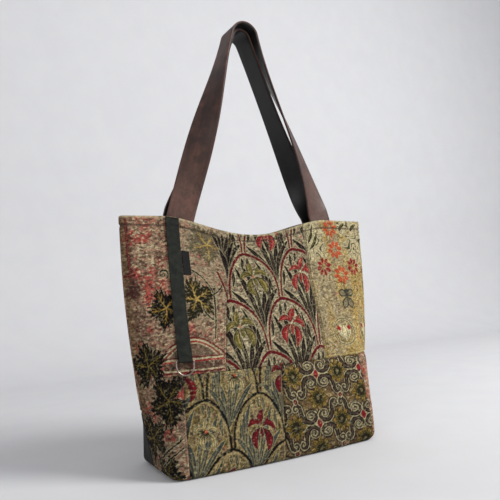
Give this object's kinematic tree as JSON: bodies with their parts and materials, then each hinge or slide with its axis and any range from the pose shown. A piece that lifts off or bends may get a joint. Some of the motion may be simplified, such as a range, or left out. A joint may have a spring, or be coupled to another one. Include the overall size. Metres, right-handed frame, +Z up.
{
  "type": "carpet bag",
  "caption": "Patchwork tapestry tote with a boxed leather base, long twisted leather handles held up in a loop, and a wire ring on a webbing tape.",
  "frame": {"origin": "middle of the underside of the base, on the surface the bag stands on", "axes": "+Z up, the handles at the top; X across the bag from side seam to side seam; the patchwork front faces -Y"},
  "size_m": [0.3869, 0.1324, 0.599],
  "materials": {
    "red_tapestry": "woven tapestry, matte",
    "beige_tapestry": "woven tapestry, matte",
    "gold_tapestry": "woven tapestry, matte",
    "straw_tapestry": "woven tapestry, matte",
    "taupe_tapestry": "woven tapestry, matte",
    "back_tapestry": "woven tapestry, matte",
    "dark_leather": "smooth, satin",
    "lining": "plain weave, matte",
    "facing": "woven, matte",
    "strap_leather": "smooth, satin",
    "strap_backing": "smooth, satin",
    "webbing": "ribbed webbing, matte",
    "tag": "woven ribbon, matte",
    "ring_metal": "polished wire"
  },
  "bodies": {
    "bag": {"left_upper_patch": "red_tapestry", "arch_patch": "beige_tapestry", "gold_patch": "gold_tapestry", "left_lower_patch": "red_tapestry", "lower_arch_patch": "straw_tapestry", "scroll_patch": "taupe_tapestry", "right_side_patch": "red_tapestry", "back_panel": "back_tapestry", "base_panel": "dark_leather", "lining": "lining", "rim_facing": "facing", "front_handle": "strap_leather", "front_handle_backing": "strap_backing", "back_handle": "strap_leather", "back_handle_backing": "strap_backing", "webbing_tape": "webbing", "side_tag": "tag"},
    "ring": {"d_ring": "ring_metal"}
  },
  "joints": [
    {"name": "ring_swing", "type": "hinge", "parent": "bag", "child": "ring", "pos_m": [-0.12722, -0.0391, 0.13637], "axis": [-0.994, 0.1057, 0.0267], "range_deg": [0, 150]}
  ]
}
